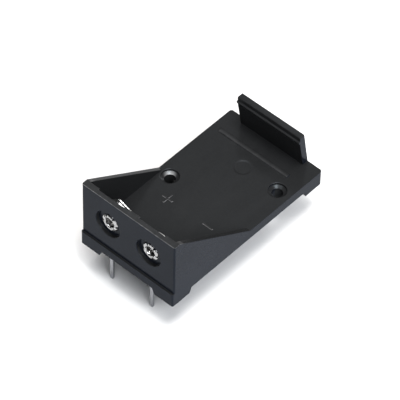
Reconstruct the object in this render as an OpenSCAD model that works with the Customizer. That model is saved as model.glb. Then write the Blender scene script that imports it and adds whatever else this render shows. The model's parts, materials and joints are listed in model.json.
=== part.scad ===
// Snap-in holder for a nine-volt battery that lies flat on a circuit board.
// A moulded tray with a spring clip carries two riveted snap contacts,
// whose flat tails go down through the floor as board pins.
// The origin is midway between the two pins, in the plane of the feet.
// +X runs along the front wall, +Y towards the spring clip and +Z up, in millimetres.

/* [Battery] */
// Width of the battery
battery_w = 26.5; // [25:0.1:28]
// Length of the battery over its terminals
battery_l = 48.5; // [46:0.1:52]
// Free space on each side of the battery
battery_gap = 0.15; // [0.05:0.05:0.5]
// Distance between the two terminals
snap_pitch = 12.7; // [12.2:0.05:13.2]
// Height of the terminals above the floor
snap_h = 8; // [7.4:0.05:9]

/* [Tray] */
// Thickness of the floor
floor_t = 2.7; // [2.2:0.1:4]
// Height of the corner feet
foot_h = 1.6; // [0.8:0.1:3]
// Length and width of a foot where it meets the board
foot_w = 5.8; // [4:0.1:8]
// Draft of a foot's inner sides over its height
foot_draft = 0.7; // [0.1:0.1:1.2]
// Thickness of the front wall
wall_t = 1.65; // [1.5:0.05:2.2]
// Height of the front wall above the floor
wall_h = 16; // [13.5:0.5:18]
// Radius of the rounded edge along the front wall's top
wall_round = 0.2; // [0.1:0.05:0.8]
// Distance by which the base band stands proud of the front wall
band_d = 0.5; // [0.2:0.1:1]
// Distance from the floor's top down to the band's upper edge
band_drop = 0.25; // [0.1:0.05:1]
// Thickness of the side walls
side_t = 1.1; // [0.8:0.1:2]
// Level length of a side wall's top behind the front wall
side_level = 0.15; // [0.1:0.05:4]
// Length of a side wall along the floor
side_run = 26.3; // [15:0.1:40]
// Radius of the upright corners at the front
corner_r = 0.4; // [0.2:0.1:1]
// Radius of the upright corners at the rear
rear_corner_r = 0.75; // [0.2:0.05:1.5]

/* [Spring clip] */
// Width of the clip
clip_w = 19.7; // [14:0.1:24]
// Height of the clip above the floor
clip_h = 10.7; // [10.2:0.1:14]
// Thickness of the clip at its root
clip_root_t = 1.75; // [1.4:0.05:3]
// Thickness of the clip at its top
clip_top_t = 1.45; // [1:0.05:1.8]
// Distance by which the outer face leans in at the top
clip_lean = 1.75; // [1:0.05:2.2]
// Radius of the clip's upper corners, seen from the front
clip_corner_r = 0.6; // [0.2:0.1:2]
// Distance by which the clip's top falls towards the battery
clip_fall = 0.2; // [0.05:0.05:0.4]
// Radius of the rounded edge at the clip's top, towards the battery
clip_front_round = 0.35; // [0.2:0.05:0.5]
// Radius of the rounded edge at the clip's top, away from the battery
clip_rear_round = 0.2; // [0.1:0.05:0.3]
// Height of the pressing ridge above the floor
ridge_h = 8.8; // [6:0.1:9.2]
// Radius of the half-round ridge
ridge_r = 0.4; // [0.2:0.05:0.6]

/* [Floor details] */
// Length of the low rib across the floor
rib_l = 21.8; // [10:0.1:24]
// Distance of the rib's middle from the tray's middle
rib_x = 1.1; // [0:0.1:1.2]
// Width of the rib
rib_w = 1.4; // [0.8:0.1:2]
// Height of the rib, which is also the radius of its rounded edges
rib_h = 0.3; // [0.1:0.05:0.35]
// Distance from the clip's root to the rib
rib_back = 4.4; // [2:0.1:6]
// Diameter of the shallow round mark
mark_d = 4.8; // [3:0.1:6]
// Width of the mark's sloping side
mark_slope = 0.5; // [0.1:0.05:0.8]
// Depth of the round mark
mark_depth = 0.1; // [0.05:0.05:0.4]
// Distance of the round mark's middle ahead of the clip's root
mark_back = 10.3; // [9:0.1:20]

/* [Screw holes] */
// Diameter of a screw hole
screw_d = 2.8; // [2:0.1:3.4]
// Diameter of the seat for a screw's head
screw_head_d = 4.6; // [4:0.1:6]
// Depth of the seat's straight rim
screw_rim = 0.6; // [0.3:0.1:0.8]
// Depth of the seat's cone below the rim
screw_cone = 0.4; // [0.2:0.1:0.9]
// Diameter of the bosses that carry the screw holes down to the board
boss_d = 5.6; // [5:0.1:6]
// Distance between the screw holes across the tray
screw_dx = 21.5; // [16:0.1:22]
// Distance between the screw holes along the tray
screw_dy = 14; // [0:0.5:16]
// Distance from the front wall's inner face to the nearer screw hole
screw_y = 24.4; // [16:0.05:26]
// Bevel round the edges of the screw seats and the access holes
hole_bevel = 0.12; // [0.04:0.02:0.24]

/* [Terminals] */
// Thickness of a terminal's strip
strip_t = 0.45; // [0.3:0.05:0.5]
// Width of a terminal's strip
strip_w = 7.9; // [6.5:0.1:9.5]
// Free space at each side of a strip in its pocket
strip_gap = 0.1; // [0.05:0.05:0.3]
// Width of a board pin
pin_w = 1; // [0.8:0.1:2]
// Length of a board pin below the feet
pin_l = 8; // [3:0.5:10]
// Length of a pin's tapered tip
pin_tip = 0.5; // [0.2:0.1:1]
// Width of a pin's tapered tip at its end
pin_end_w = 0.6; // [0.3:0.1:0.7]
// Free space round a pin in its slot
slot_gap = 0.1; // [0.05:0.05:0.3]

/* [Snaps] */
// Height of the snaps above their terminals
snap_rise = 3.3; // [2.8:0.1:4]
// Thickness of the snaps' sheet
sheet_t = 0.3; // [0.2:0.05:0.4]
// Diameter of the snaps' base
base_d = 7.4; // [6.8:0.1:7.8]
// Largest diameter of the stud
stud_d = 5.8; // [5.6:0.05:6]
// Diameter of the stud's neck
stud_neck_d = 5.3; // [5.1:0.05:5.5]
// Radius of the stud's rolled rim
stud_roll_r = 0.6; // [0.5:0.05:0.9]
// Diameter that the socket's petals grip
grip_d = 5.7; // [5.4:0.05:5.9]
// Height of the grip above the base
grip_h = 1.8; // [1.4:0.1:2]
// Distance across the socket's flats at its foot
socket_foot = 7.2; // [6.8:0.1:7.4]
// Distance across the socket's flats at its flared rim
socket_rim = 8; // [7.4:0.1:8.6]
// Number of the socket's petals
petals = 6; // [4:1:8]
// Width of the slits between the petals
slit_w = 0.35; // [0.2:0.05:0.6]
// Radius of the bead along a petal's rim
lip_r = 0.22; // [0.2:0.01:0.3]
// Turn of the socket about its axis, in degrees
socket_turn = 70; // [0:1:90]

/* [Rivets] */
// Diameter of the access holes in the front wall
access_d = 7.5; // [6:0.1:9]
// Depth of the access holes
access_depth = 0.9; // [0.6:0.05:1]
// Outer diameter of a rivet's shank
rivet_d = 3.2; // [2.6:0.1:3.4]
// Thickness of the shank's wall
rivet_wall = 0.3; // [0.2:0.05:0.5]
// Free space round a shank in its holes
rivet_gap = 0.05; // [0.02:0.01:0.1]
// Diameter of a rivet's head
rivet_head_d = 4.2; // [3.8:0.1:4.4]
// Thickness of a rivet's head
rivet_head_t = 0.3; // [0.2:0.05:0.5]
// Diameter of the flared star
star_d = 4.9; // [4.4:0.1:5.6]
// Height of the star above its seat
star_h = 0.42; // [0.2:0.02:0.6]
// Radius at which the flare rolls out of the bore
roll_r = 0.4; // [0.2:0.05:0.6]
// Number of the star's points
star_points = 6; // [4:1:8]
// Opening angle of the notches between the points, in degrees
notch_angle = 48; // [20:1:60]
// Turn of the star on the socket's side, in degrees
socket_star_turn = 30; // [0:1:60]
// Turn of the star on the stud's side, in degrees
stud_star_turn = 24; // [0:1:60]

/* [Hidden] */
$fn = 64;

// Overlap of a cut past the face that it opens
cut = 1;
// Straight steps along a curved outline
curve_steps = 8;

// Places along Y, from the front wall's outer face to the rear edge
front_y = strip_t / 2 - wall_t;
inner_y = front_y + wall_t;
pocket_y = inner_y - strip_t;
seat_y = front_y + access_depth;
root_y = inner_y + battery_l;
rear_y = root_y + clip_root_t;

// Heights
floor_z = foot_h + floor_t;
band_z = floor_z - band_drop;
top_z = floor_z + wall_h;
snap_z = floor_z + snap_h;

// Widths
bay_w = battery_w + 2 * battery_gap;
body_w = bay_w + 2 * side_t;
pocket_w = strip_w + 2 * strip_gap;
hole_d = rivet_d + 2 * rivet_gap;
bore_r = rivet_d / 2 - rivet_wall;

// Seat of the rivets' stars along the snaps' axes, from the wall's inner face
star_z = seat_y - inner_y;

// Middles of the two screw holes
screw_places = [
  [-screw_dx / 2, inner_y + screw_y],
  [screw_dx / 2, inner_y + screw_y + screw_dy]
];

body_colour = "#25272b";
plated_colour = "#b9bcc2";
nickel_colour = "#d3d5d8";

// Points along an arc, with its angles in degrees
function arc(centre, r, from, to) = [
  for (i = [0:curve_steps])
    let (a = from + (to - from) * i / curve_steps)
      centre + r * [cos(a), sin(a)]
];

// Outline of the tray seen from above, from a front line to the rear edge
module plan(from_y) {
  ends = [
    [from_y + corner_r, corner_r],
    [rear_y - rear_corner_r, rear_corner_r]
  ];
  translate([-body_w / 2, ends[0][0]])
    square([body_w, ends[1][0] - ends[0][0]]);
  for (end = ends)
    translate([0, end[0]]) {
      square([body_w - 2 * end[1], 2 * end[1]], center = true);
      for (side = [-1, 1])
        translate([side * (body_w / 2 - end[1]), 0])
          circle(end[1]);
    }
}

// A profile in the YZ plane, drawn out along X about the middle
module across(width) {
  rotate([90, 0, 90])
    linear_extrude(width, center = true)
      children();
}

// A profile in the XZ plane, drawn out along +Y from a given place
module along(from_y, depth) {
  translate([0, from_y + depth, 0])
    rotate([90, 0, 0])
      linear_extrude(depth)
        children();
}

// What is turned about a snap's axis, with its own +Z pointing into the bay
module on_snap(side) {
  translate([side * snap_pitch / 2, inner_y, snap_z])
    rotate([-90, 0, 0])
      children();
}

// Silhouette of the front wall, the sloping side walls and the floor's top layer
module wall_silhouette() {
  polygon(concat(
    [[front_y, band_z]],
    arc([front_y + wall_round, top_z - wall_round], wall_round, 180, 90),
    [
      [inner_y + side_level, top_z],
      [front_y + side_run, floor_z],
      [rear_y, floor_z],
      [rear_y, band_z]
    ]
  ));
}

module tray_shell() {
  translate([0, 0, foot_h])
    linear_extrude(band_z - foot_h)
      plan(front_y - band_d);
  intersection() {
    translate([0, 0, band_z])
      linear_extrude(top_z - band_z)
        plan(front_y);
    difference() {
      across(body_w)
        wall_silhouette();
      translate([-bay_w / 2, inner_y, floor_z])
        cube([bay_w, battery_l + clip_root_t + cut, wall_h + cut]);
    }
  }
}

// Four pads flush with the outside, with drafted inner sides
module feet() {
  low_x = body_w / 2 - foot_w;
  low_y = [front_y - band_d + foot_w, rear_y - foot_w];
  intersection() {
    linear_extrude(foot_h)
      plan(front_y - band_d);
    along(front_y - band_d, rear_y - front_y + band_d)
      for (side = [0, 1])
        mirror([side, 0])
          polygon([
            [low_x, 0],
            [low_x - foot_draft, foot_h],
            [body_w / 2, foot_h],
            [body_w / 2, 0]
          ]);
    across(body_w) {
      polygon([
        [front_y - band_d, 0],
        [front_y - band_d, foot_h],
        [low_y[0] + foot_draft, foot_h],
        [low_y[0], 0]
      ]);
      polygon([
        [rear_y, 0],
        [rear_y, foot_h],
        [low_y[1] - foot_draft, foot_h],
        [low_y[1], 0]
      ]);
    }
  }
}

// Solid posts round the screw holes, level with the feet
module screw_bosses() {
  for (place = screw_places)
    translate(place)
      cylinder(d = boss_d, h = foot_h + floor_t / 2);
}

// Section of the clip: a leaf that leans over the battery's end, with a half-round ridge below its top
module clip_section() {
  ridge_z = floor_z + ridge_h;
  lip_z = floor_z + clip_h;
  lip_y = rear_y - clip_lean;
  face_y = lip_y - clip_top_t;
  polygon(concat(
    [
      [root_y, band_z],
      [root_y, floor_z]
    ],
    arc([face_y, ridge_z], ridge_r, 270, 90),
    arc([face_y + clip_front_round, lip_z - clip_fall - clip_front_round], clip_front_round, 180, 90),
    arc([lip_y - clip_rear_round, lip_z - clip_rear_round], clip_rear_round, 90, 0),
    [
      [rear_y, floor_z],
      [rear_y, band_z]
    ]
  ));
}

// Outline of the clip seen from the front, with round upper corners
module clip_outline() {
  corner_x = clip_w / 2 - clip_corner_r;
  corner_z = floor_z + clip_h - clip_corner_r;
  polygon(concat(
    [[clip_w / 2, band_z]],
    arc([corner_x, corner_z], clip_corner_r, 0, 90),
    arc([-corner_x, corner_z], clip_corner_r, 90, 180),
    [[-clip_w / 2, band_z]]
  ));
}

module spring_clip() {
  intersection() {
    across(clip_w)
      clip_section();
    along(inner_y, rear_y - inner_y + cut)
      clip_outline();
  }
}

// Low rib with round edges, on which the battery's end lies
module floor_rib() {
  rear = root_y - rib_back;
  front = rear - rib_w;
  translate([-rib_x, 0, 0])
    across(rib_l)
      polygon(concat(
        [[front, band_z]],
        arc([front + rib_h, floor_z], rib_h, 180, 90),
        arc([rear - rib_h, floor_z], rib_h, 90, 0),
        [[rear, band_z]]
      ));
}

// Screw hole with a straight rim and a flat cone for the head
module screw_hole() {
  rim_z = floor_z - screw_rim;
  translate([0, 0, -cut])
    cylinder(d = screw_d, h = floor_z + 2 * cut);
  translate([0, 0, rim_z - screw_cone])
    cylinder(d1 = screw_d, d2 = screw_head_d, h = screw_cone);
  translate([0, 0, rim_z])
    cylinder(d = screw_head_d, h = screw_rim + cut);
  translate([0, 0, floor_z - hole_bevel])
    cylinder(d1 = screw_head_d, d2 = screw_head_d + 2 * hole_bevel, h = hole_bevel);
}

// Shallow round mark with a sloping side
module round_mark() {
  translate([0, root_y - mark_back, floor_z - mark_depth])
    cylinder(d1 = mark_d - 2 * mark_slope, d2 = mark_d, h = mark_depth);
}

// Access hole, rivet hole, pocket and pin slot of one contact
module contact_cuts(side) {
  x = side * snap_pitch / 2;
  translate([x, front_y, snap_z])
    rotate([-90, 0, 0]) {
      cylinder(d1 = access_d + 2 * hole_bevel, d2 = access_d, h = hole_bevel);
      translate([0, 0, -cut])
        cylinder(d = access_d, h = access_depth + cut);
      cylinder(d = hole_d, h = wall_t + cut);
    }
  translate([x - pocket_w / 2, pocket_y, floor_z])
    cube([pocket_w, strip_t + cut, wall_h + cut]);
  translate([x - pin_w / 2 - slot_gap, pocket_y - slot_gap, foot_h - cut])
    cube([pin_w + 2 * slot_gap, strip_t + 2 * slot_gap, floor_t + 2 * cut]);
}

module holder_body() {
  color(body_colour)
    difference() {
      union() {
        tray_shell();
        feet();
        screw_bosses();
        spring_clip();
        floor_rib();
      }
      for (side = [-1, 1])
        contact_cuts(side);
      for (place = screw_places)
        translate(place)
          screw_hole();
      round_mark();
    }
}

// Strip with a round top about the snap's axis and a narrow tail for the board
module terminal(side) {
  x = side * snap_pitch / 2;
  color(plated_colour)
    translate([x, 0, 0])
      along(pocket_y, strip_t)
        difference() {
          union() {
            translate([0, snap_z])
              circle(d = strip_w);
            translate([-strip_w / 2, floor_z])
              square([strip_w, snap_h]);
            polygon([
              [-pin_w / 2, floor_z + strip_t],
              [-pin_w / 2, pin_tip - pin_l],
              [-pin_end_w / 2, -pin_l],
              [pin_end_w / 2, -pin_l],
              [pin_w / 2, pin_tip - pin_l],
              [pin_w / 2, floor_z + strip_t]
            ]);
          }
          translate([0, snap_z])
            circle(d = hole_d);
        }
}

module positive_terminal() {
  terminal(-1);
}

module negative_terminal() {
  terminal(1);
}

// Distance of a petal's outer face from the axis at a given height
function petal_r(h) = grip_d / 2 + sheet_t + (h < grip_h
  ? (socket_foot / 2 - grip_d / 2 - sheet_t) * pow(1 - h / grip_h, 2)
  : (socket_rim / 2 - grip_d / 2 - sheet_t) * pow((h - grip_h) / (snap_rise - grip_h), 2));

// Section of a petal: waisted at the grip, flared and beaded at the rim
module petal_section() {
  heights = [for (i = [0:curve_steps]) i / curve_steps * (snap_rise - lip_r)];
  outer = [for (h = heights) [petal_r(h), h]];
  inner = [for (i = [curve_steps:-1:0]) [petal_r(heights[i]) - sheet_t, heights[i]]];
  polygon(concat(outer, inner));
  translate([petal_r(snap_rise - lip_r) - sheet_t / 2, snap_rise - lip_r])
    circle(lip_r);
}

module petal() {
  half_turn = 180 / petals;
  reach = socket_rim;
  intersection() {
    rotate([90, 0, 0])
      linear_extrude(2 * reach, center = true)
        petal_section();
    translate([slit_w / 2 / sin(half_turn), 0, 0])
      linear_extrude(snap_rise)
        polygon([
          [0, 0],
          [reach, reach * tan(half_turn)],
          [reach, -reach * tan(half_turn)]
        ]);
  }
}

module socket_snap() {
  color(nickel_colour)
    on_snap(-1) {
      difference() {
        cylinder(d = base_d, h = sheet_t);
        translate([0, 0, -cut])
          cylinder(d = hole_d, h = sheet_t + 2 * cut);
      }
      for (i = [0:petals - 1])
        rotate(i * 360 / petals - socket_turn)
          petal();
    }
}

// Section of the stud: base, neck, bulged crown and rolled rim, all of one sheet
module stud_section() {
  neck_r = stud_neck_d / 2;
  roll_z = snap_rise - stud_roll_r;
  translate([hole_d / 2, 0])
    square([base_d / 2 - hole_d / 2, sheet_t]);
  polygon([
    [neck_r - sheet_t, 0],
    [neck_r, 0],
    [neck_r, sheet_t],
    [stud_d / 2, roll_z],
    [stud_d / 2 - sheet_t, roll_z]
  ]);
  intersection() {
    translate([stud_d / 2 - stud_roll_r, roll_z])
      difference() {
        circle(stud_roll_r);
        circle(stud_roll_r - sheet_t);
      }
    translate([0, roll_z])
      square([stud_d, stud_roll_r]);
  }
}

module stud_snap() {
  color(nickel_colour)
    on_snap(1)
      rotate_extrude()
        stud_section();
}

// Section of a hollow rivet: head, shank and the flare that rolls out of the bore down to its seat
module rivet_section() {
  crown_r = bore_r + roll_r;
  fall = star_d / 2 - crown_r;
  flare = [
    for (i = [0:2 * curve_steps])
      let (a = 180 + 90 * i / curve_steps)
        [crown_r + (a < 270 ? roll_r : fall) * cos(a), star_z + star_h * sin(a)]
  ];
  translate([bore_r, sheet_t])
    square([rivet_head_d / 2 - bore_r, rivet_head_t]);
  translate([bore_r, star_z])
    square([rivet_wall, sheet_t - star_z]);
  polygon(flare);
}

// Hollow rivet whose flare is split into a star
module rivet(side, turn) {
  half_turn = 180 / star_points;
  reach = star_d;
  half_w = reach * tan(notch_angle / 2);
  color(nickel_colour)
    on_snap(side)
      difference() {
        rotate_extrude()
          rivet_section();
        for (i = [1:star_points])
          rotate((2 * i - 1) * half_turn - turn)
            translate([rivet_d / 2, 0, star_z - star_h - cut])
              linear_extrude(star_h + cut)
                polygon([[0, 0], [reach, half_w], [reach, -half_w]]);
      }
}

module socket_rivet() {
  rivet(-1, socket_star_turn);
}

module stud_rivet() {
  rivet(1, stud_star_turn);
}

holder_body();
positive_terminal();
negative_terminal();
socket_snap();
stud_snap();
socket_rivet();
stud_rivet();
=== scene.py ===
import json
import math

import bmesh
import bpy
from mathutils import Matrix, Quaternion, Vector


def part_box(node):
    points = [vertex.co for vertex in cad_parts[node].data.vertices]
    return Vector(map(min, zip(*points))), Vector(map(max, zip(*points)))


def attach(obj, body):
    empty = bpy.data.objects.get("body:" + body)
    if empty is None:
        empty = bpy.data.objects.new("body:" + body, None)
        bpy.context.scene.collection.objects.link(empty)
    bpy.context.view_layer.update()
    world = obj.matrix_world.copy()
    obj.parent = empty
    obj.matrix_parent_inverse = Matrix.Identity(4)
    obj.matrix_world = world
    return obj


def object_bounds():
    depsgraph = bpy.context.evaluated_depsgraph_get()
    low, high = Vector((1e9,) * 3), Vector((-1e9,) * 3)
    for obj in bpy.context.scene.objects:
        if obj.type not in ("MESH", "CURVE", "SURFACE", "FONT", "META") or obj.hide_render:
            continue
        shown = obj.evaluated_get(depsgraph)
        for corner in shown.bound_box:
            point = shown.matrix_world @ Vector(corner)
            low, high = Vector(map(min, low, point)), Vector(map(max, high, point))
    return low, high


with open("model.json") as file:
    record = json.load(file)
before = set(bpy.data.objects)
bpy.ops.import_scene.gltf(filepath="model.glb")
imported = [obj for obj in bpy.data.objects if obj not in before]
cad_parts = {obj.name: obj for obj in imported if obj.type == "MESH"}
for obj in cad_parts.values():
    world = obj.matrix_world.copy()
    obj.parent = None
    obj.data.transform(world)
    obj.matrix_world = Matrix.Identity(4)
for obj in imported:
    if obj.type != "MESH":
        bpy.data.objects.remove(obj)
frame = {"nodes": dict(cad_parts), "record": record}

cad_low, cad_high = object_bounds()

MM = 0.001

# Camera, as fitted to the corners of the object
IMAGE_PX = 400
FOCAL_PX = 3800
SENSOR_MM = 36
VIEW_AZIMUTH = 41.39
VIEW_ELEVATION = 48.76
VIEW_ROLL = 1.21
VIEW_TARGET = Vector((-0.50, 23.91, 4.30)) * MM
VIEW_DISTANCE = 892.7 * MM
VIEW_GAMMA = 0.77
CLIP_FACTOR = 10

# Floor, which lies at the tips of the board pins
FLOOR_SIDE = 4.0
FLOOR_Z = cad_low.z
FLOOR_GREY = (0.57, 0.57, 0.57, 1)
FLOOR_ROUGHNESS = 0.9
FLOOR_SHINE = 0.1

# Lamps, all at one distance, and the even fill
LAMP_DISTANCE = 1.0
OVERHEAD_WHITE = (1.0, 0.985, 0.97)
SIDE_WHITE = (0.97, 0.99, 1.02)
REAR_WHITE = (1.0, 0.98, 0.96)
SHEEN_WHITE = (1.0, 0.96, 0.92)
FILL_WHITE = (0.92, 0.96, 1.0, 1)
FILL_STRENGTH = 0.12

# Range that most of a noise texture lies in
NOISE_LOW = 0.3
NOISE_HIGH = 0.7

# Edge rounding left by the mould and by the press tools
BODY_ROUND = 0.16 * MM
SHEET_ROUND = 0.06 * MM
ROUND_SAMPLES = 8

# Black moulding: colours of the faces that look into the bay and of the outer ones, whose bluish tone is a
# painted cast standing in for the cool light they reflect, and the finish
INNER_DARK = (0.0122, 0.0126, 0.0132)
INNER_LIGHT = (0.0320, 0.0328, 0.0338)
OUTER_PAINTED_CAST_DARK = (0.0092, 0.0109, 0.0150)
OUTER_PAINTED_CAST_LIGHT = (0.0242, 0.0286, 0.0390)
BODY_TINT = (0.80, 0.91, 1.0, 1)
BODY_SHINE = 0.13
BODY_SMOOTH = 0.12
BODY_DULL = 0.24
FLOW_SIZE = 9 * MM
MOTTLE_SIZE = 0.4 * MM
MOTTLE_SHARE = 0.4
PEEL_SIZE = 2.4 * MM
PEEL_DEPTH = 0.02 * MM
GRAIN_SIZE = 0.12 * MM
GRAIN_DEPTH = 0.006 * MM

# Place above the bay, which parts the faces that look into it from the outer ones that carry the painted
# bluish cast
BAY_MIDDLE = Vector((0, 24, 60)) * MM
BAY_BLEND = 3 * MM

# Painted highlight: pale grey painted on the edges that look up, given by the rise of the rounded normal,
# and faintly on flat tops; strongest near the top, broken up by noise
PAINTED_HIGHLIGHT_GREY = (0.22, 0.22, 0.22)
EDGE_HIGHLIGHT_ROUND = 0.16 * MM
EDGE_START = (0.25, 0.45)
EDGE_END = (0.75, 0.85)
FLAT_HIGHLIGHT = 0.06
HIGHLIGHT_DROP = 1.0 * MM
HIGHLIGHT_BLEND = 0.4 * MM
HIGHLIGHT_BELOW = 0.08
HIGHLIGHT_BREAK_SIZE = 1.3 * MM
HIGHLIGHT_BREAK_LEAST = 0.35

# Painted highlight on the rear left of the left screw seat's cone, pale grey in place of a glint
SEAT_X = -11.6 * MM
SEAT_Y = 25.6 * MM
SEAT_REACH = 1.7 * MM
SEAT_BLEND = 1.5 * MM
CONE_START = (0.7, 0.85)
CONE_END = (0.93, 0.98)

# Painted highlight on the front half of the low rib across the tray
RIB_Y = 43.15 * MM
RIB_LIT_REACH = 0.2 * MM
RIB_BLEND = 0.6 * MM
RIB_RISE = 0.1 * MM
RIB_HIGHLIGHT = 0.11

# Tinned strip
TIN_DARK = (0.34, 0.345, 0.36)
TIN_LIGHT = (0.42, 0.425, 0.44)
TIN_SMOOTH = 0.20
TIN_DULL = 0.34
ROLLING_SIZE = 0.09 * MM
ROLLING_DEPTH = 0.01 * MM
TIN_CLOUD_SIZE = 1.2 * MM

# Nickel plate
NICKEL_LIFT = 1.6
NICKEL_DULL_SPAN = 0.14
NICKEL_CLOUD_SIZE = 0.9 * MM
DENT_SIZE = 1.3 * MM
TOOL_SIZE = 0.05 * MM
TOOL_DEPTH = 0.006 * MM

# Raised polarity signs on the tray's floor, each in line with its snap
SNAP_PITCH = 12.7 * MM
SIGN_X = SNAP_PITCH / 2
SIGN_Y = 19 * MM
TRAY_Z = 4.3 * MM
SIGN_ARMS = 4
SIGN_SPAN = 3.2 * MM
SIGN_STROKE = 0.55 * MM
SIGN_RISE = 0.2 * MM
SIGN_SINK = 0.05 * MM
SIGN_DRAFT = 0.12 * MM


def direction(azimuth, elevation):
    """Unit vector from the object towards a place round it; azimuth 0 is in front and 90 on the right."""
    a = math.radians(azimuth)
    e = math.radians(elevation)
    return Vector((math.sin(a) * math.cos(e), -math.cos(a) * math.cos(e), math.sin(e)))


class Shader:
    """A material's node tree, with short calls that add and link nodes."""

    def __init__(self, name):
        self.material = bpy.data.materials.new(name)
        self.material.use_nodes = True
        self.tree = self.material.node_tree
        self.surface = self.tree.nodes["Principled BSDF"]
        coordinates = self.tree.nodes.new("ShaderNodeTexCoord")
        self.place = coordinates.outputs["Object"]
        self.facing = coordinates.outputs["Normal"]

    def link(self, source, target):
        self.tree.links.new(source, target)

    def add(self, kind, **values):
        """New node, with values for its inputs or its settings."""
        node = self.tree.nodes.new(kind)
        for key, value in values.items():
            if key in node.inputs:
                node.inputs[key].default_value = value
            else:
                setattr(node, key, value)
        return node

    def part(self, vector, axis):
        """One coordinate of a vector."""
        node = self.add("ShaderNodeSeparateXYZ")
        self.link(vector, node.inputs["Vector"])
        return node.outputs[axis]

    def stretched(self, scale):
        """The place on the object, scaled along each axis."""
        mapping = self.add("ShaderNodeMapping", Scale=scale)
        self.link(self.place, mapping.inputs["Vector"])
        return mapping.outputs["Vector"]

    def noise(self, size, detail=2.0, rough=0.5, stretch=(1, 1, 1)):
        """Noise whose features are about size metres across, longer where stretch is above 1."""
        node = self.add("ShaderNodeTexNoise", Scale=1.0, Detail=detail, Roughness=rough)
        self.link(self.stretched([1 / size / s for s in stretch]), node.inputs["Vector"])
        return node.outputs["Fac"]

    def ranged(self, value, low, high, start=NOISE_LOW, end=NOISE_HIGH):
        """Goes from low to high while value goes from start to end, and stays there beyond them."""
        node = self.add("ShaderNodeMapRange")
        node.inputs["From Min"].default_value = start
        node.inputs["From Max"].default_value = end
        node.inputs["To Min"].default_value = low
        node.inputs["To Max"].default_value = high
        self.link(value, node.inputs["Value"])
        return node.outputs["Result"]

    def paired(self, operation, first, second):
        """Product, maximum or the like of two values."""
        node = self.add("ShaderNodeMath", operation=operation)
        self.link(first, node.inputs[0])
        self.link(second, node.inputs[1])
        return node.outputs["Value"]

    def span(self, value, start, end, least=0.0):
        """Mask that rises from 0 to 1 over one range of a value, and falls to least over another."""
        risen = self.ranged(value, 0.0, 1.0, *start)
        fallen = self.ranged(value, 1.0, least, *end)
        return self.paired("MULTIPLY", risen, fallen)

    def above(self, level, blend, least=0.0):
        """Factor that rises from least to 1 over a height of blend above a level."""
        return self.ranged(self.part(self.place, "Z"), least, 1.0, level, level + blend)

    def near(self, x, y, reach, blend):
        """Factor that falls from 1 to 0 over a distance of blend inside reach from an upright axis."""
        node = self.add("ShaderNodeVectorMath", operation="DISTANCE")
        self.link(self.stretched((1, 1, 0)), node.inputs[0])
        node.inputs[1].default_value = (x, y, 0)
        return self.ranged(node.outputs["Value"], 1.0, 0.0, reach - blend, reach)

    def outward(self, middle, blend):
        """Factor that is 1 on the faces that look away from a place, and 0 on those that look towards it."""
        offset = self.add("ShaderNodeVectorMath", operation="SUBTRACT")
        self.link(self.place, offset.inputs[0])
        offset.inputs[1].default_value = middle
        along = self.add("ShaderNodeVectorMath", operation="DOT_PRODUCT")
        self.link(offset.outputs["Vector"], along.inputs[0])
        self.link(self.facing, along.inputs[1])
        return self.ranged(along.outputs["Value"], 0.0, 1.0, 0.0, blend)

    def mixed(self, share, first, second):
        """Two values mixed, with a given share of the second."""
        node = self.add("ShaderNodeMix")
        node.inputs["Factor"].default_value = share
        self.link(first, node.inputs["A"])
        self.link(second, node.inputs["B"])
        return node.outputs["Result"]

    def blended(self, factor, first, second):
        """Mix of two colours, each a plain value or another node's output."""
        node = self.add("ShaderNodeMix", data_type="RGBA")
        targets = [s for s in node.inputs if s.type == "RGBA"]
        for target, colour in zip(targets, (first, second)):
            if isinstance(colour, bpy.types.NodeSocket):
                self.link(colour, target)
            else:
                target.default_value = (*colour, 1)
        self.link(factor, node.inputs["Factor"])
        return [s for s in node.outputs if s.type == "RGBA"][0]

    def rounded(self, radius):
        """Normal that turns smoothly over the hard edges."""
        node = self.add("ShaderNodeBevel", Radius=radius, samples=ROUND_SAMPLES)
        return node.outputs["Normal"]

    def bumped(self, height, strength, depth, below):
        """Normal of a relief of the given depth, laid over another normal."""
        node = self.add("ShaderNodeBump", Strength=strength, Distance=depth)
        self.link(height, node.inputs["Height"])
        self.link(below, node.inputs["Normal"])
        return node.outputs["Normal"]

    def finish(self, colour, roughness, normal):
        self.link(colour, self.surface.inputs["Base Color"])
        self.link(roughness, self.surface.inputs["Roughness"])
        self.link(normal, self.surface.inputs["Normal"])
        return self.material


def painted_highlights(s, highlight_z):
    """Mask of the painted highlights: the edges that look up, mostly above the given height, the rib's front
    half and the left screw seat's cone; noise breaks up those on the edges and the rib.
    """
    edges = s.span(s.part(s.rounded(EDGE_HIGHLIGHT_ROUND), "Z"), EDGE_START, EDGE_END, least=FLAT_HIGHLIGHT)
    edges = s.paired("MULTIPLY", edges, s.above(highlight_z, HIGHLIGHT_BLEND, least=HIGHLIGHT_BELOW))
    # Painted highlight on the rib's front half
    lit_end = RIB_Y + RIB_LIT_REACH
    rib = s.span(s.part(s.place, "Y"), (RIB_Y - RIB_BLEND, RIB_Y), (lit_end, lit_end + RIB_BLEND))
    rib = s.paired("MULTIPLY", rib, s.above(TRAY_Z + RIB_RISE, RIB_RISE))
    rib = s.ranged(rib, 0.0, RIB_HIGHLIGHT, start=0.0, end=1.0)
    highlight_break = s.ranged(s.noise(HIGHLIGHT_BREAK_SIZE, detail=4), HIGHLIGHT_BREAK_LEAST, 1.0)
    broken_highlights = s.paired("MULTIPLY", s.paired("MAXIMUM", edges, rib), highlight_break)
    cone = s.span(s.part(s.facing, "Z"), CONE_START, CONE_END)
    # Painted glint on the left screw seat's cone
    seat_highlight = s.paired("MULTIPLY", s.near(SEAT_X, SEAT_Y, SEAT_REACH, SEAT_BLEND), cone)
    return s.paired("MAXIMUM", broken_highlights, seat_highlight)


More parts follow.
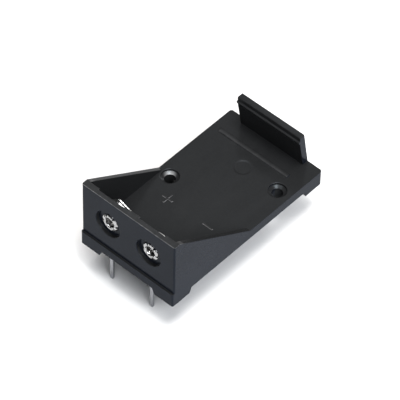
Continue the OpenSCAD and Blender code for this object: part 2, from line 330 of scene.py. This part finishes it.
def moulded_plastic(name, highlight_z):
    """Satin black moulding with flow marks, a soft orange peel and a fine grain, with a painted bluish cast
    on its outer faces and pale painted highlights on edges, rib and a screw seat.
    """
    s = Shader(name)
    flow = s.noise(FLOW_SIZE, detail=8, rough=0.62, stretch=(1, 2.5, 1))
    mottle = s.noise(MOTTLE_SIZE, detail=3, rough=0.7)
    shade = s.mixed(MOTTLE_SHARE, flow, mottle)
    inner = s.blended(shade, INNER_DARK, INNER_LIGHT)
    # The outer faces get a bluish painted cast in place of the cool light they reflect; the inner faces stay
    # neutral
    outer = s.blended(shade, OUTER_PAINTED_CAST_DARK, OUTER_PAINTED_CAST_LIGHT)
    colour = s.blended(s.outward(BAY_MIDDLE, BAY_BLEND), inner, outer)
    # Pale grey painted highlights in place of the glints on edges, rib and screw seat
    colour = s.blended(painted_highlights(s, highlight_z), colour, PAINTED_HIGHLIGHT_GREY)
    roughness = s.ranged(flow, BODY_SMOOTH, BODY_DULL, start=0.0, end=1.0)
    peel = s.noise(PEEL_SIZE, detail=1)
    grain = s.noise(GRAIN_SIZE, detail=2, rough=0.6)
    normal = s.bumped(peel, strength=0.05, depth=PEEL_DEPTH, below=s.rounded(BODY_ROUND))
    normal = s.bumped(grain, strength=0.10, depth=GRAIN_DEPTH, below=normal)
    s.surface.inputs["Specular Tint"].default_value = BODY_TINT
    s.surface.inputs["Specular IOR Level"].default_value = BODY_SHINE
    return s.finish(colour, roughness, normal)


def tinned_strip():
    """Tin plate with rolling marks along the strip."""
    s = Shader("tinned_strip")
    rolling = s.noise(ROLLING_SIZE, detail=3, stretch=(1, 1, 30))
    cloud = s.noise(TIN_CLOUD_SIZE, detail=3)
    colour = s.blended(cloud, TIN_DARK, TIN_LIGHT)
    roughness = s.ranged(rolling, TIN_SMOOTH, TIN_DULL)
    normal = s.bumped(rolling, strength=0.05, depth=ROLLING_DEPTH, below=s.rounded(SHEET_ROUND))
    s.surface.inputs["Metallic"].default_value = 1.0
    return s.finish(colour, roughness, normal)


def nickel_plate(name, shade, dull, dent):
    """Nickel plate of a given grey and dullness, with tool marks and forming dents, dent metres deep."""
    s = Shader(name)
    cloud = s.noise(NICKEL_CLOUD_SIZE, detail=3)
    colour = s.blended(cloud, [shade] * 3, [shade * NICKEL_LIFT] * 3)
    roughness = s.ranged(cloud, dull, dull + NICKEL_DULL_SPAN)
    dents = s.noise(DENT_SIZE, detail=2)
    tool = s.noise(TOOL_SIZE, detail=2, stretch=(1, 6, 1))
    normal = s.bumped(dents, strength=1.0, depth=dent, below=s.rounded(SHEET_ROUND))
    normal = s.bumped(tool, strength=0.03, depth=TOOL_DEPTH, below=normal)
    s.surface.inputs["Metallic"].default_value = 1.0
    return s.finish(colour, roughness, normal)


def prism(name, outline, low, high, draft):
    """Closed solid over an outline in XY, whose top is drawn in by the mould's draft."""
    mesh = bmesh.new()
    centre = sum((Vector(p) for p in outline), Vector((0, 0))) / len(outline)
    lower = [mesh.verts.new((x, y, low)) for x, y in outline]
    upper = []
    for x, y in outline:
        dx = math.copysign(draft, x - centre.x)
        dy = math.copysign(draft, y - centre.y)
        upper.append(mesh.verts.new((x - dx, y - dy, high)))
    count = len(outline)
    for i in range(count):
        j = (i + 1) % count
        mesh.faces.new((lower[i], lower[j], upper[j], upper[i]))
    mesh.faces.new(upper)
    mesh.faces.new(lower[::-1])
    data = bpy.data.meshes.new(name)
    mesh.to_mesh(data)
    mesh.free()
    piece = bpy.data.objects.new(name, data)
    bpy.context.scene.collection.objects.link(piece)
    return piece


def polarity_sign(name, x, y, floor_z, material, upright):
    """Raised bar, or a cross where upright is set, standing on the tray's floor."""
    half = SIGN_SPAN / 2
    arm = SIGN_STROKE / 2
    if upright:
        quarter = [(half, -arm), (half, arm), (arm, arm)]
        outline = []
        for turn in range(SIGN_ARMS):
            for px, py in quarter:
                for _ in range(turn):
                    px, py = -py, px
                outline.append((x + px, y + py))
    else:
        outline = [(x - half, y - arm), (x + half, y - arm), (x + half, y + arm), (x - half, y + arm)]
    piece = prism(name, outline, floor_z - SIGN_SINK, floor_z + SIGN_RISE, SIGN_DRAFT)
    piece.data.materials.append(material)
    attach(piece, "root")


def dress_nodes():
    """Gives every node its finish; the rivets are darker, glossier and more dented than the drawn snaps."""
    finishes = {
        # The painted highlights are strongest from a little below the body's top
        "moulding": moulded_plastic("moulded_plastic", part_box("holder_body")[1].z - HIGHLIGHT_DROP),
        "plated_strip": tinned_strip(),
        "nickel": nickel_plate("drawn_nickel", shade=0.48, dull=0.30, dent=0.005 * MM),
    }
    riveted = nickel_plate("riveted_nickel", shade=0.36, dull=0.10, dent=0.7 * MM)
    slots = {row["node"]: row["material_slot"] for row in frame["record"]["subparts"]}
    for name, piece in frame["nodes"].items():
        piece.material_slots[0].material = riveted if name.endswith("rivet") else finishes[slots[name]]


def add_signs():
    """Plain plus sign in line with the socket snap, and minus sign in line with the stud snap."""
    # The signs stand above the given height, so their edges take the painted highlights at full strength
    sign_finish = moulded_plastic("raised_sign", TRAY_Z - HIGHLIGHT_BLEND)
    polarity_sign("plus_sign", -SIGN_X, SIGN_Y, TRAY_Z, sign_finish, upright=True)
    polarity_sign("minus_sign", SIGN_X, SIGN_Y, TRAY_Z, sign_finish, upright=False)


def stage_floor():
    """Wide pale floor."""
    half = FLOOR_SIDE / 2
    data = bpy.data.meshes.new("floor")
    corners = [(x, y, FLOOR_Z) for x, y in ((-half, -half), (half, -half), (half, half), (-half, half))]
    data.from_pydata(corners, [], [(0, 1, 2, 3)])
    floor = bpy.data.objects.new("floor", data)
    bpy.context.scene.collection.objects.link(floor)
    s = Shader("studio_floor")
    s.surface.inputs["Base Color"].default_value = FLOOR_GREY
    s.surface.inputs["Roughness"].default_value = FLOOR_ROUGHNESS
    s.surface.inputs["Specular IOR Level"].default_value = FLOOR_SHINE
    data.materials.append(s.material)


def softbox(name, azimuth, elevation, width, power, colour):
    """Round area light that faces the object."""
    data = bpy.data.lights.new(name, "AREA")
    data.shape = "DISK"
    data.size = width
    data.energy = power
    data.color = colour
    lamp = bpy.data.objects.new(name, data)
    towards = direction(azimuth, elevation)
    lamp.location = VIEW_TARGET + towards * LAMP_DISTANCE
    lamp.rotation_mode = "QUATERNION"
    lamp.rotation_quaternion = (-towards).to_track_quat("-Z", "Y")
    bpy.context.scene.collection.objects.link(lamp)


def studio_light():
    """Softboxes above, at the right, front right, rear and rear left, over an even fill from all round."""
    world = bpy.data.worlds.new("studio")
    bpy.context.scene.world = world
    world.use_nodes = True
    backdrop = world.node_tree.nodes["Background"]
    backdrop.inputs["Color"].default_value = FILL_WHITE
    backdrop.inputs["Strength"].default_value = FILL_STRENGTH
    softbox("overhead", azimuth=0, elevation=90, width=0.9, power=10.8, colour=OVERHEAD_WHITE)
    softbox("spot", azimuth=90, elevation=80, width=0.3, power=5.0, colour=OVERHEAD_WHITE)
    softbox("right", azimuth=75, elevation=40, width=0.6, power=11.0, colour=SIDE_WHITE)
    softbox("front", azimuth=42, elevation=40, width=0.6, power=4.5, colour=SIDE_WHITE)
    softbox("rear", azimuth=178, elevation=20, width=0.45, power=3.0, colour=REAR_WHITE)
    softbox("sheen", azimuth=222, elevation=54, width=0.9, power=2.0, colour=SHEEN_WHITE)
    bpy.context.scene.view_settings.view_transform = "Standard"
    bpy.context.scene.view_settings.gamma = VIEW_GAMMA


def photo_camera():
    """Long lens at the photograph's viewing angle."""
    data = bpy.data.cameras.new("camera")
    data.sensor_width = SENSOR_MM
    data.lens = FOCAL_PX / IMAGE_PX * SENSOR_MM
    data.clip_start = VIEW_DISTANCE / CLIP_FACTOR
    data.clip_end = VIEW_DISTANCE * CLIP_FACTOR
    camera = bpy.data.objects.new("camera", data)
    towards = direction(VIEW_AZIMUTH, VIEW_ELEVATION)
    camera.location = VIEW_TARGET + towards * VIEW_DISTANCE
    camera.rotation_mode = "QUATERNION"
    level = (-towards).to_track_quat("-Z", "Y")
    camera.rotation_quaternion = level @ Quaternion((0, 0, 1), math.radians(VIEW_ROLL))
    bpy.context.scene.collection.objects.link(camera)
    bpy.context.scene.camera = camera


dress_nodes()
add_signs()
photo_camera()
studio_light()
stage_floor()
